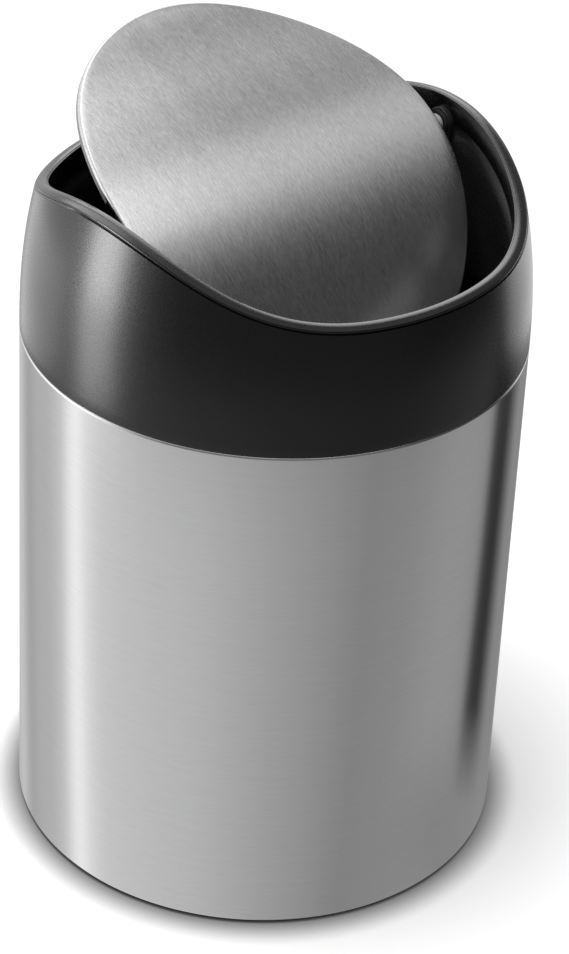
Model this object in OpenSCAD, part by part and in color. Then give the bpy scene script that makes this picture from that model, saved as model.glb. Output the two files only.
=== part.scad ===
// Small countertop trash can: a brushed steel body, a black lid collar with a wavy rim,
// and a steel-faced flap that swings on two pins between the high sides of the rim.
// Origin on the floor under the middle of the can, +Z up, pivot axis along X, front towards -Y.

/* [Body] */
// Outside radius of the steel body
body_r = 60; // [55:0.5:70]
// Height of the seam between the body and the collar above the floor
joint_z = 133.3; // [110:0.1:180]
// Thickness of the body's sheet
sheet_t = 0.6; // [0.4:0.1:0.8]
// Depth of the folded hem inside the top edge
hem_depth = 4; // [2:0.5:8]
// Width of the turned-in lip at the bottom edge
turn_in = 3; // [2.5:0.5:4]
// Gap between the steel's bottom edge and the floor
edge_gap = 0.8; // [0.5:0.1:2]
// Height of the floor pan's top face above the floor
floor_z = 9; // [7:0.5:20]
// Height of the pressed step in the middle of the floor pan
pan_step = 1; // [0.5:0.1:1.4]
// Radius of the middle of the floor pan
pan_mid_r = 38; // [20:1:40]

/* [Base] */
// Wall of the base ring
base_wall = 1.6; // [1.2:0.1:2.5]
// Width of the base ring, from its inner edge to its outer edge
base_ring_w = 12.8; // [12.5:0.1:16]
// Thickness of the base ring's bottom plate
base_plate_t = 2; // [1.8:0.1:3]
// Number of stiffening ribs in the base ring
base_ribs = 16; // [8:4:32]
// Number of snap nibs round the base ring
base_nibs = 8; // [4:1:16]
// Radius of a foot pad
pad_r = 5; // [3:0.5:5]
// How far a foot pad stands below the base ring
pad_proud = 0.4; // [0.2:0.1:0.4]
// How deep a foot pad sits in the base ring
pad_seat = 1.2; // [0.8:0.1:1.4]
// Number of foot pads
pad_count = 4; // [3:1:6]

/* [Collar] */
// Height of the rim above the floor at the two pivot sides
rim_high = 177.7; // [170:0.1:190]
// How much lower the rim is at the front and back
rim_dip = 14.1; // [8:0.1:20]
// Distance from the pivot axis to where the rim's wave runs flat
wave_half = 55; // [54:0.5:60]
// How far the collar draws in from the seam to the rim's high points
collar_draw = 6.4; // [5:0.1:8]
// Power of the collar's side curve: 2 is a parabola, and more is rounder at the shoulder
collar_curve = 2.3; // [2:0.1:2.6]
// Wall of the collar
collar_wall = 2; // [1.6:0.1:2.2]
// Width of the rounded lip seen from above
lip_w = 3; // [2.6:0.1:3.6]
// Height of the lip's inner wall
lip_depth = 5.8; // [5:0.1:8]

/* [Guard ring] */
// Wall of the guard ring
guard_wall = 1.4; // [1:0.1:1.5]
// How far the guard ring's wall stands inside the lip's inner wall
guard_step = 0.4; // [0.3:0.1:0.6]
// How far the skirt reaches down into the body
skirt_depth = 14.3; // [10:0.1:20]
// Wall of the skirt
skirt_wall = 1.6; // [1.2:0.1:1.7]
// Height of the web's underside above the seam
web_rise = 4.7; // [4:0.1:8]
// Thickness of the web between the guard wall and the skirt
web_t = 2; // [1.5:0.1:3]
// Number of centring pads on the skirt
skirt_pads_n = 6; // [3:1:8]
// Angle that a centring pad covers
skirt_pad_angle = 12; // [6:1:20]
// Height of a centring pad
skirt_pad_h = 7; // [4:0.5:8]

/* [Flap] */
// How far the flap is swung from level: positive dips the front edge and lifts the back one
open_angle = 35; // [-70:1:70]
// Swing each way from level at which the stops are met
swing_limit = 75; // [65:1:80]
// Gap between the flap and the lip at the two pivot sides
side_gap = 3.7; // [3.4:0.1:4.5]
// Gap between the flap and the lip at the front and back
end_gap = 1.5; // [1.3:0.1:2.5]
// How far the flap's crown lies below the rim's high points
crown_gap = 3.4; // [3:0.1:5]
// Drop of the flap's front and back edges below its crown
flap_drop = 10; // [7:0.1:11]
// Thickness of the flap's steel skin
skin_t = 0.5; // [0.4:0.05:0.8]
// Depth of the skin's turned-down edge
skin_edge = 1; // [0.8:0.1:1.4]
// Depth of the carrier's rim below the flap's top surface
carrier_rim = 2.2; // [2.1:0.1:3]
// Thickness of the carrier's plate
carrier_t = 1.4; // [1:0.1:1.6]
// Width of the carrier's rim
carrier_rim_w = 1.6; // [1.2:0.1:2.2]
// Distance from the pivot axis at which the carrier's rim stops, to pass the pivots
rim_stop = 8.2; // [8:0.1:12]
// Thickness of the carrier's ribs
rib_t = 1.2; // [0.8:0.1:2]
// Distance between two cross ribs of the carrier
rib_pitch = 15; // [11:0.5:20]

/* [Pivots] */
// Depth of the pivot axis below the flap's crown
pivot_drop = 3; // [2.9:0.1:3.5]
// Radius of the pivot pins
pin_r = 1.2; // [1:0.1:1.4]
// Running clearance of a pin in its bush
pin_clear = 0.05; // [0.02:0.01:0.1]
// Wall of a pivot bush
bush_wall = 0.9; // [0.7:0.1:1.1]
// Radius of a bush's flange
bush_flange_r = 3; // [2.6:0.1:3.1]
// Thickness of a bush's flange
bush_flange_t = 0.6; // [0.4:0.1:0.8]
// Radius of the guard ring's ears round the bushes
ear_r = 3.6; // [3.4:0.1:3.8]
// How far an ear stands inside and outside the lip's inner wall
ear_half = 1.4; // [1.2:0.1:1.6]
// Radius of the carrier's bosses round the pins
boss_r = 2.3; // [2:0.1:2.4]
// Length of a pin inside its boss
pin_grip = 9.8; // [6:0.1:10]
// Side play of the flap between the bushes, each side
side_play = 0.3; // [0.2:0.1:0.6]

/* [Counterweight] */
// Length of the steel bar
bar_l = 50; // [30:1:52]
// Width of the steel bar
bar_w = 9; // [6:0.5:12]
// Thickness of the steel bar
bar_t = 4; // [2:0.5:6]
// Depth of the steel bar's top face below the pivot axis
bar_drop = 2.2; // [2:0.1:4]
// Wall of the cover under the bar
cover_wall = 1.4; // [1:0.1:2]
// Length of each screw tab on the cover
tab_l = 8.6; // [8:0.1:9]

/* [Screws] */
// Radius of the screws' shanks
screw_r = 0.9; // [0.8:0.05:1]
// Radius of the screws' heads
head_r = 1.8; // [1.6:0.1:1.8]
// Height of the screws' heads
head_h = 1.3; // [1:0.1:1.6]
// Angle between the pivot axis and each screw of the guard ring
ring_screw_angle = 16; // [14:1:20]
// Reach of a guard ring screw above the web
ring_screw_reach = 10; // [6:0.5:14]
// Reach of a counterweight screw above its tab
bar_screw_reach = 3.4; // [2.5:0.1:3.6]

/* [Clearances] */
// Gap left between rigid pieces that are fitted together
fit_gap = 0.1; // [0.05:0.01:0.15]
// Gap between the lid's skirt pads and the body's hem
lid_gap = 0.3; // [0.3:0.05:0.5]
// Gap between the skirt and the collar's wall round it
skirt_gap = 0.2; // [0.15:0.05:0.3]
// Gap round an ear in the collar's pocket
pocket_gap = 0.2; // [0.1:0.05:0.3]

/* [Hidden] */
$fn = 96;

steel = [0.74, 0.74, 0.75];
dark_steel = [0.50, 0.51, 0.53];
black = [0.09, 0.09, 0.10];
grey = [0.60, 0.60, 0.61];
soft_black = [0.16, 0.16, 0.17];
black_acetal = [0.13, 0.13, 0.14];

// Steps in the drawn curves
curve_steps = 10;
wave_steps = 44;
ellipse_steps = 96;

// Body and base
shell_in_r = body_r - sheet_t;
hem_in_r = shell_in_r - fit_gap - sheet_t;
pan_r = shell_in_r - fit_gap / 2;
turn_top = edge_gap + sheet_t;
base_r = body_r - turn_in - 2 * fit_gap;
base_in_r = base_r - base_ring_w;
base_low = pad_proud;
base_top = floor_z - sheet_t - fit_gap;
nib_w = 6;
nib_h = 1;
nib_out = turn_in - 2 * sheet_t - 8 * fit_gap;
pad_ring_r = (base_r + base_in_r) / 2;
pad_top = pad_proud + pad_seat;

// The rim's wave: 1 at the pivot axis and 0 where the wave runs flat
function bell(s) = abs(s) < wave_half ? pow(1 - pow(s / wave_half, 2), 2) : 0;
rim_low = rim_high - rim_dip;
function rim_z(s) = rim_low + rim_dip * bell(s);
function collar_r(z) =
  body_r - collar_draw * pow(max(0, z - joint_z) / (rim_high - joint_z), collar_curve);

// Radius of the rim's outer edge in direction a, where the side curve meets the wave
function rim_r(a, r = body_r, tries = 8) =
  tries == 0 ? r : rim_r(a, collar_r(rim_z(r * sin(a))), tries - 1);

// The mouth follows the rim one lip's width inside it: narrower at the pivots, where it is high
mouth_a = rim_r(0) - lip_w;
mouth_b = rim_r(90) - lip_w;
skirt_r = body_r - collar_wall - skirt_gap;
skirt_in_r = skirt_r - skirt_wall;
skirt_low = joint_z - skirt_depth;
web_z = joint_z + web_rise;
web_top = web_z + web_t;
skirt_pad_seat = skirt_wall / 2;
skirt_pad_r = hem_in_r - lid_gap;
skirt_pad_z = joint_z - skirt_depth / 2 - skirt_pad_h / 2;

// Flap and pivots
flap_a = mouth_a - side_gap;
flap_b = mouth_b - end_gap;
crown_z = rim_high - crown_gap;
pivot_z = crown_z - pivot_drop;
function flap_z(s) = crown_z - flap_drop * (1 - bell(s));
under_plate = skin_t + carrier_t;
ear_in = mouth_a - ear_half;
ear_out = mouth_a + ear_half;
ear_low = 8;
bush_r = pin_r + pin_clear + bush_wall;
flange_in = ear_in - bush_flange_t;
boss_out = flange_in - side_play;
boss_in = boss_out - pin_grip;
pin_head_r = pin_r + 0.7;
pin_head_t = 0.5;
pocket_out = ear_out + pin_head_t + 2 * pocket_gap;

// Stops: a nib under each ear meets a lug on each side of the carrier's boss
nib_half = 0.8;
nib_in = flap_a - 5.4;
nib_top = bush_flange_r + side_play;
nib_low = 7.5;
lug_in = 4.5;
lug_out = 7.5;
lug_end = flap_a - 2;
lug_drop = (lug_in * cos(swing_limit + 3) - nib_half) / sin(swing_limit + 3);

// Counterweight and its cover
bar_top = pivot_z - bar_drop;
bar_low = bar_top - bar_t;
cover_low = bar_low - fit_gap - cover_wall;
cover_half_l = bar_l / 2 + fit_gap + cover_wall;
cover_half_w = bar_w / 2 + fit_gap + cover_wall;
tab_end = cover_half_l + tab_l;
tab_screw_x = cover_half_l + tab_l / 2;
tab_half_w = head_r + 1.4;
post_r = screw_r + 1.2;

// Guard ring screws stand between the guard wall and the skirt
ring_screw_r =
  (rim_r(ring_screw_angle) - lip_w - guard_step + guard_wall + skirt_in_r) / 2;
boss_wall = 0.8;
column_r = screw_r + boss_wall;
column_top = web_top + ring_screw_reach + 2;

module ellipse(a, b) {
  polygon([for (i = [0 : ellipse_steps - 1])
    [a * cos(360 * i / ellipse_steps), b * sin(360 * i / ellipse_steps)]]);
}

// The mouth's outline, drawn in by inset
module mouth(inset) {
  polygon([for (i = [0 : ellipse_steps - 1])
    let (a = 360 * i / ellipse_steps, r = rim_r(a) - lip_w - inset)
      [r * cos(a), r * sin(a)]]);
}

// All that lies below the rim's wave, lowered by drop
module under_wave(drop) {
  side = body_r + 5;
  rotate([90, 0, 90])
    linear_extrude(2 * side, center = true)
      polygon(concat([[-side, 0]], [[-side, rim_low - drop]],
        [for (i = [0 : wave_steps])
          let (s = wave_half * (2 * i / wave_steps - 1)) [s, rim_z(s) - drop]],
        [[side, rim_low - drop]], [[side, 0]]));
}

// The collar's outside, drawn in by inset
module collar_form(inset, low) {
  top = rim_high + 1;
  rotate_extrude()
    polygon(concat([[0, low]], [[body_r - inset, low]],
      [for (i = [0 : curve_steps])
        let (z = joint_z + (top - joint_z) * i / curve_steps) [collar_r(z) - inset, z]],
      [[0, top]]));
}

// The band of the flap between two depths below its top surface, cut to an ellipse
module flap_band(top, bottom, a, b) {
  reach = body_r + 5;
  places = concat([-reach],
    [for (i = [0 : wave_steps]) wave_half * (2 * i / wave_steps - 1)], [reach]);
  intersection() {
    translate([0, 0, rim_low - 30])
      linear_extrude(60)
        ellipse(a, b);
    rotate([90, 0, 90])
      linear_extrude(2 * reach, center = true)
        polygon(concat(
          [for (s = places) [s, flap_z(s) - top]],
          [for (i = [len(places) - 1 : -1 : 0]) [places[i], flap_z(places[i]) - bottom]]));
  }
}

// Turns what moves with the flap about the pivot axis
module swung() {
  translate([0, 0, pivot_z])
    rotate([open_angle, 0, 0])
      translate([0, 0, -pivot_z])
        children();
}

// A round bar along the pivot axis from x0 to x1
module along_axis(x0, x1, r) {
  translate([x0, 0, pivot_z])
    rotate([0, 90, 0])
      cylinder(h = x1 - x0, r = r);
}

module both_sides() {
  children();
  mirror([1, 0, 0])
    children();
}

module at_ring_screws() {
  for (side = [0, 180], turn = [-ring_screw_angle, ring_screw_angle])
    rotate(side + turn)
      translate([ring_screw_r, 0, 0])
        children();
}

module pan_head_screw(reach) {
  translate([0, 0, -head_h])
    cylinder(h = head_h, r = head_r);
  cylinder(h = reach, r = screw_r);
}

// Rolled sheet with a hem folded inside the top edge and a lip turned in at the bottom
module body_shell() {
  color(steel)
    rotate_extrude()
      polygon([
        [body_r - turn_in, edge_gap],
        [body_r - sheet_t / 2, edge_gap],
        [body_r, edge_gap + sheet_t / 2],
        [body_r, joint_z - sheet_t / 2],
        [body_r - sheet_t / 2, joint_z],
        [hem_in_r + sheet_t / 2, joint_z],
        [hem_in_r, joint_z - sheet_t / 2],
        [hem_in_r, joint_z - hem_depth],
        [shell_in_r, joint_z - hem_depth],
        [shell_in_r, turn_top],
        [body_r - turn_in, turn_top]
      ]);
}

// Pressed floor with a downward flange that stands on the shell's turned-in lip
module floor_pan() {
  slope = 2;
  color(dark_steel)
    rotate_extrude()
      polygon([
        [0, floor_z - pan_step],
        [pan_mid_r - slope, floor_z - pan_step],
        [pan_mid_r, floor_z],
        [pan_r, floor_z],
        [pan_r, turn_top],
        [pan_r - sheet_t, turn_top],
        [pan_r - sheet_t, floor_z - sheet_t],
        [pan_mid_r, floor_z - sheet_t],
        [pan_mid_r - slope, floor_z - pan_step - sheet_t],
        [0, floor_z - pan_step - sheet_t]
      ]);
}

// Moulded ring that snaps over the turned-in lip from below and carries the feet
module base_ring() {
  ring_h = base_top - base_low;
  color(black)
    difference() {
      union() {
        rotate_extrude()
          polygon([
            [base_in_r, base_low],
            [base_r, base_low],
            [base_r, base_top],
            [base_r - base_wall, base_top],
            [base_r - base_wall, base_low + base_plate_t],
            [base_in_r + base_wall, base_low + base_plate_t],
            [base_in_r + base_wall, base_top],
            [base_in_r, base_top]
          ]);
        for (i = [0 : base_ribs - 1])
          rotate(360 * (i + 0.5) / base_ribs)
            translate([base_in_r + base_wall / 2, -rib_t / 2, base_low + base_plate_t / 2])
              cube([base_ring_w - base_wall, rib_t, ring_h - base_plate_t / 2]);
        for (i = [0 : base_nibs - 1])
          rotate(360 * i / base_nibs)
            translate([base_r - base_wall / 2, -nib_w / 2, turn_top + fit_gap])
              cube([base_wall / 2 + nib_out, nib_w, nib_h]);
      }
      for (i = [0 : pad_count - 1])
        rotate(360 * (i + 0.5) / pad_count)
          translate([pad_ring_r, 0, 0])
            cylinder(h = pad_top, r = pad_r);
    }
}

// Soft discs in the base ring, which the can stands on
module foot_pads() {
  color(soft_black)
    for (i = [0 : pad_count - 1])
      rotate(360 * (i + 0.5) / pad_count)
        translate([pad_ring_r, 0, 0])
          cylinder(h = pad_top, r = pad_r);
}

// The ear's outline round the pivot, grown by gap, from x0 to x1
module ear(gap, x0, x1, low) {
  along_axis(x0, x1, ear_r + gap);
  translate([x0, -ear_r - gap, pivot_z - low])
    cube([x1 - x0, 2 * (ear_r + gap), low]);
}

// Moulded lid shell: drawn in towards the wavy rim, with the lip as a deeper band inside
module collar() {
  color(black)
    difference() {
      union() {
        difference() {
          intersection() {
            collar_form(0, joint_z);
            under_wave(0);
          }
          intersection() {
            collar_form(collar_wall, joint_z - 1);
            under_wave(lip_depth);
          }
        }
        intersection() {
          collar_form(collar_wall / 2, joint_z);
          at_ring_screws()
            translate([0, 0, web_top]) {
              cylinder(h = column_top - web_top, r = column_r);
              translate([0, -rib_t / 2, 0])
                cube([body_r - ring_screw_r, rib_t, column_top - web_top]);
            }
        }
      }
      translate([0, 0, joint_z - 1])
        linear_extrude(rim_high - joint_z + 2)
          mouth(0);
      both_sides()
        ear(pocket_gap, mouth_a - 1, pocket_out, lip_depth);
      at_ring_screws()
        translate([0, 0, web_top - 1])
          cylinder(h = ring_screw_reach + 1 + 2 * fit_gap, r = screw_r);
    }
}

// Moulded inner ring: the guard wall under the lip, the web, the skirt that plugs into the
// body, the ears that hold the pivot bushes, and the nibs that stop the flap's swing
module guard_ring() {
  color(black)
    difference() {
      union() {
        difference() {
          intersection() {
            translate([0, 0, web_z])
              linear_extrude(rim_high - web_z)
                mouth(guard_step - guard_wall);
            under_wave(lip_depth + fit_gap);
          }
          translate([0, 0, web_z - 1])
            linear_extrude(rim_high - web_z + 2)
              mouth(guard_step);
        }
        difference() {
          union() {
            translate([0, 0, web_z])
              cylinder(h = web_t, r = skirt_r);
            translate([0, 0, skirt_low])
              cylinder(h = web_top - skirt_low, r = skirt_r);
          }
          translate([0, 0, skirt_low - 1])
            cylinder(h = web_z - skirt_low + 1, r = skirt_in_r);
          translate([0, 0, web_z - 1])
            linear_extrude(web_t + 2)
              mouth(guard_step);
        }
        both_sides()
          ear(0, ear_in, ear_out, ear_low);
        both_sides()
          translate([nib_in, -nib_half, pivot_z - nib_low])
            cube([ear_in + 0.5 - nib_in, 2 * nib_half, nib_low - nib_top]);
      }
      both_sides()
        along_axis(ear_in - 1, ear_out + 1, bush_r);
      at_ring_screws()
        translate([0, 0, web_z - 1])
          cylinder(h = web_t + 2, r = screw_r + fit_gap);
      skirt_pad_blocks(skirt_pad_seat, skirt_r + 1);
    }
}

// The centring pads, from seat inside the skirt's face out to radius r
module skirt_pad_blocks(seat, r) {
  for (i = [0 : skirt_pads_n - 1])
    rotate(360 * (i + 0.5) / skirt_pads_n - skirt_pad_angle / 2)
      rotate_extrude(angle = skirt_pad_angle)
        translate([skirt_r - seat, skirt_pad_z])
          square([r - skirt_r + seat, skirt_pad_h]);
}

// Soft pads set into the skirt, which centre the lid in the body's hem
module skirt_pads() {
  color(soft_black)
    skirt_pad_blocks(skirt_pad_seat, skirt_pad_r);
}

// Screws that draw the guard ring up under the lip
module ring_screws() {
  color(dark_steel)
    at_ring_screws()
      translate([0, 0, web_z])
        pan_head_screw(web_t + ring_screw_reach);
}

// Flanged bearing pushed into an ear from inside
module pivot_bush() {
  color(black_acetal)
    difference() {
      union() {
        along_axis(flange_in, ear_in, bush_flange_r);
        along_axis(ear_in, ear_out, bush_r);
      }
      along_axis(flange_in - 1, ear_out + 1, pin_r + pin_clear);
    }
}

module pivot_bush_right() {
  pivot_bush();
}

module pivot_bush_left() {
  mirror([1, 0, 0])
    pivot_bush();
}

// Headed pin, put in from outside the ear and pressed into the carrier's boss
module pivot_pin() {
  color(steel)
    swung() {
      along_axis(boss_in, ear_out + pocket_gap, pin_r);
      along_axis(ear_out + pocket_gap, ear_out + pocket_gap + pin_head_t, pin_head_r);
    }
}

module pivot_pin_right() {
  pivot_pin();
}

module pivot_pin_left() {
  mirror([1, 0, 0])
    pivot_pin();
}

// Bent steel face with its edge turned down round the carrier and notched over its bosses
module flap_skin() {
  color(steel)
    swung()
      difference() {
        flap_band(0, skin_edge, flap_a, flap_b);
        flap_band(skin_t, skin_edge + 2, flap_a - skin_t, flap_b - skin_t);
        both_sides()
          along_axis(boss_in, boss_out, boss_r + fit_gap);
      }
}

// Moulded frame under the skin: plate, rim, ribs, pin bosses, screw posts and stop lugs
module flap_carrier() {
  in_a = flap_a - skin_t - fit_gap;
  in_b = flap_b - skin_t - fit_gap;
  rib_depth = pivot_drop + bar_drop;
  color(grey)
    swung()
      difference() {
        union() {
          flap_band(skin_t, under_plate, in_a, in_b);
          difference() {
            union() {
              flap_band(skin_t + carrier_t / 2, carrier_rim, in_a, in_b);
              flap_band(skin_edge + fit_gap, carrier_rim, flap_a - fit_gap, flap_b - fit_gap);
            }
            flap_band(0, carrier_rim + 2, flap_a - carrier_rim_w, flap_b - carrier_rim_w);
            translate([-body_r, -rim_stop, pivot_z - 10])
              cube([2 * body_r, 2 * rim_stop, 10 + pivot_drop]);
          }
          intersection() {
            flap_band(skin_t + carrier_t / 2, rib_depth, flap_a - carrier_rim_w,
              flap_b - carrier_rim_w);
            union() {
              both_sides()
                translate([bar_l / 2 - rib_t, -body_r, pivot_z - 30])
                  cube([rib_t, 2 * body_r, 60]);
              for (side = [-1, 1], i = [1 : 2])
                translate([-bar_l / 2, side * i * rib_pitch - rib_t / 2, pivot_z - 30])
                  cube([bar_l, rib_t, 60]);
              both_sides()
                translate([bar_l / 2 - rib_t, -rib_t / 2, pivot_z - 30])
                  cube([boss_in - bar_l / 2 + 2, rib_t, 60]);
            }
          }
          both_sides()
            along_axis(boss_in, boss_out, boss_r);
          both_sides()
            translate([tab_screw_x, 0, bar_top + fit_gap])
              cylinder(h = crown_z - under_plate + carrier_t / 2 - bar_top - fit_gap, r = post_r);
          intersection() {
            flap_band(skin_t + carrier_t / 2, 6, in_a, in_b);
            for (side = [-1, 1], end = [-1, 1])
              translate([end * (nib_in + lug_end) / 2, side * (lug_in + lug_out) / 2,
                (pivot_z - lug_drop + crown_z) / 2])
                cube([lug_end - nib_in, lug_out - lug_in, crown_z - pivot_z + lug_drop],
                  center = true);
          }
        }
        both_sides()
          along_axis(boss_in - 1, boss_out + 1, pin_r);
        both_sides()
          translate([tab_screw_x, 0, bar_top - 1])
            cylinder(h = bar_screw_reach + 1, r = screw_r);
        translate([-bar_l / 2 - fit_gap, -bar_w / 2 - fit_gap, bar_low])
          cube([bar_l + 2 * fit_gap, bar_w + 2 * fit_gap, bar_t + fit_gap]);
        translate([-tab_end - fit_gap, -cover_half_w - fit_gap, cover_low])
          cube([2 * (tab_end + fit_gap), 2 * (cover_half_w + fit_gap),
            bar_top + fit_gap - cover_low]);
      }
}

// Steel bar that brings the flap back to level
module counterweight() {
  color(dark_steel)
    swung()
      translate([-bar_l / 2, -bar_w / 2, bar_low])
        cube([bar_l, bar_w, bar_t]);
}

// Moulded tray that holds the bar up against the carrier, with a screw tab at each end
module weight_cover() {
  color(grey)
    swung()
      difference() {
        union() {
          translate([-cover_half_l, -cover_half_w, cover_low])
            cube([2 * cover_half_l, 2 * cover_half_w, bar_top - cover_low]);
          translate([-tab_end, -tab_half_w, bar_top - cover_wall])
            cube([2 * tab_end, 2 * tab_half_w, cover_wall]);
        }
        translate([-bar_l / 2 - fit_gap, -bar_w / 2 - fit_gap, bar_low - fit_gap])
          cube([bar_l + 2 * fit_gap, bar_w + 2 * fit_gap, bar_t + 1]);
        both_sides()
          translate([tab_screw_x, 0, bar_top - cover_wall - 1])
            cylinder(h = cover_wall + 2, r = screw_r + fit_gap);
      }
}

// Screws that hold the tray to the carrier's posts
module weight_screws() {
  color(dark_steel)
    swung()
      both_sides()
        translate([tab_screw_x, 0, bar_top - cover_wall])
          pan_head_screw(cover_wall + bar_screw_reach);
}

body_shell();
floor_pan();
base_ring();
foot_pads();
collar();
guard_ring();
ring_screws();
skirt_pads();
pivot_bush_left();
pivot_bush_right();
pivot_pin_left();
pivot_pin_right();
flap_skin();
flap_carrier();
counterweight();
weight_cover();
weight_screws();
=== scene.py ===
import math

import bmesh
import bpy
from mathutils import Matrix, Vector


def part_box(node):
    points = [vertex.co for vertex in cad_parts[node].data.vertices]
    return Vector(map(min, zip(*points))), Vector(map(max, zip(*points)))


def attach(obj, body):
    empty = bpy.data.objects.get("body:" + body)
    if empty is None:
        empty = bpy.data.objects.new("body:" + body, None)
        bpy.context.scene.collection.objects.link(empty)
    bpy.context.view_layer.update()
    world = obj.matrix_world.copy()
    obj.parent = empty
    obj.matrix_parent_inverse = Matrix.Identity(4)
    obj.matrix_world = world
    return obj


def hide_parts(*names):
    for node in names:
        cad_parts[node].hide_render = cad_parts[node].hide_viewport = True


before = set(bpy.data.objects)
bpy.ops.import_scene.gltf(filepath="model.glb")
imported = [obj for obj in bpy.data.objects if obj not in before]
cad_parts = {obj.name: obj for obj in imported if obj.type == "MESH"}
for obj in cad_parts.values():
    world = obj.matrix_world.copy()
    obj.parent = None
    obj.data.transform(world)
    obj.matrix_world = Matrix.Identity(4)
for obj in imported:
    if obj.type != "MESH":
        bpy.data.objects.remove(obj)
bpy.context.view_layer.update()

mm = 0.001

# The camera looks down on the can from the front left, 0.84 m away and rolled by three degrees,
# as the photograph was taken. Its lens is long, so the sides of the can stay nearly parallel.
shot_turn, shot_tilt, shot_roll = (math.radians(angle) for angle in (42.2, 32.64, 2.95))
base_in_view = Vector((-8.0, -75.6, -839.3)) * mm
focal_px = 3261.7
picture_height_px = 954
camera_data = bpy.data.cameras.new("camera")
camera_data.lens = camera_data.sensor_width * focal_px / picture_height_px
camera = bpy.data.objects.new("camera", camera_data)
bpy.context.scene.collection.objects.link(camera)
shot = (Matrix.Rotation(-shot_turn, 4, "Z")
        @ Matrix.Rotation(math.pi / 2 - shot_tilt, 4, "X")
        @ Matrix.Rotation(shot_roll, 4, "Z"))
camera.matrix_world = shot @ Matrix.Translation(-base_in_view)
bpy.context.scene.camera = camera

# Body: stainless sheet rolled into a tube, welded up the back and brushed round the can. Its top
# edge is folded inwards into a hem, and its bottom edge is turned in to a lip that holds the floor.
low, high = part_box("body_shell")
body_r = high.x
seam_z = high.z
steel_low = low.z
sheet = 0.6 * mm
fold_gap = 0.1 * mm
hem_depth = 4 * mm
turn_in = 3 * mm
bottom_round = 0.7 * mm
weld_edge = (0.15 * mm, 0.35 * mm)


def arc(r, z, radius, start, end, steps=6):
    """Points on an arc about (r, z). Angles are in degrees, from outwards towards up."""
    turns = [math.radians(start + (end - start) * i / steps) for i in range(steps + 1)]
    return [(r + radius * math.cos(turn), z + radius * math.sin(turn)) for turn in turns]


def turned(outline, closed=True, steps=192):
    """An outline of (radius, height) points, spun about the can's axis."""
    work = bmesh.new()
    points = [work.verts.new((r, 0, z)) for r, z in outline]
    ends = points[1:] + points[:1] if closed else points[1:]
    sides = [work.edges.new(pair) for pair in zip(points, ends)]
    bmesh.ops.spin(work, geom=points + sides, cent=(0, 0, 0), axis=(0, 0, 1),
                   angle=math.tau, steps=steps, use_merge=True)
    bmesh.ops.remove_doubles(work, verts=work.verts, dist=0.001 * mm)
    bmesh.ops.recalc_face_normals(work, faces=work.faces)
    return work


def new_piece(name, work, material, sharp_over=35):
    """Makes the mesh an object in its place, smooth but for edges sharper than sharp_over."""
    mesh = bpy.data.meshes.new(name)
    work.to_mesh(mesh)
    work.free()
    mesh.materials.append(material)
    mesh.shade_smooth()
    mesh.set_sharp_from_angle(angle=math.radians(sharp_over))
    piece = bpy.data.objects.new(name, mesh)
    bpy.context.scene.collection.objects.link(piece)
    return piece


class Finish:
    """A material's nodes, added one after another round its Principled shader."""

    def __init__(self, name, **sockets):
        self.material = bpy.data.materials.new(name)
        self.material.use_nodes = True
        self.nodes = self.material.node_tree.nodes
        self.shader = self.nodes["Principled BSDF"]
        self.place = self.add("ShaderNodeTexCoord").outputs["Object"]
        for socket, value in sockets.items():
            self.shader.inputs[socket.replace("_", " ")].default_value = value

    def add(self, kind, settings=(), **inputs):
        """A node with its settings, and its inputs given as values or as other nodes' outputs."""
        node = self.nodes.new(kind)
        for setting, value in dict(settings).items():
            setattr(node, setting, value)
        for socket, value in inputs.items():
            self.feed(node, socket.replace("_", " "), value)
        return node

    def feed(self, node, socket, value):
        target = node.inputs[socket]
        if isinstance(value, bpy.types.NodeSocket):
            self.material.node_tree.links.new(value, target)
        else:
            target.default_value = value

    def noise(self, per_metre, detail=2.0, roughness=0.5):
        """Noise with its own fineness along X, Y and Z of the object."""
        scaled = self.add("ShaderNodeMapping", Vector=self.place, Scale=per_metre)
        return self.add("ShaderNodeTexNoise", Vector=scaled.outputs[0], Scale=1.0,
                        Detail=detail, Roughness=roughness).outputs["Fac"]

    def between(self, value, low, high, start=0.3, end=0.7):
        """Carries a value that runs from start to end over to the range from low to high."""
        node = self.add("ShaderNodeMapRange", Value=value)
        for socket, number in zip(("From Min", "From Max", "To Min", "To Max"),
                                  (start, end, low, high)):
            node.inputs[socket].default_value = number
        return node.outputs[0]

    def sum(self, *values):
        total = values[0]
        for value in values[1:]:
            node = self.add("ShaderNodeMath")
            self.feed(node, 0, total)
            self.feed(node, 1, value)
            total = node.outputs[0]
        return total

    def shade(self, dark, light, amount):
        """A colour between two greys, set by amount."""
        node = self.add("ShaderNodeMix", {"data_type": "RGBA"})
        self.feed(node, 0, amount)
        self.feed(node, 6, (*dark, 1))
        self.feed(node, 7, (*light, 1))
        self.feed(self.shader, "Base Color", node.outputs[2])

    def rough(self, value):
        self.feed(self.shader, "Roughness", value)

    def relief(self, height, strength, depth=0.02 * mm):
        node = self.add("ShaderNodeBump", Height=height, Strength=strength, Distance=depth)
        self.feed(self.shader, "Normal", node.outputs[0])


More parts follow.
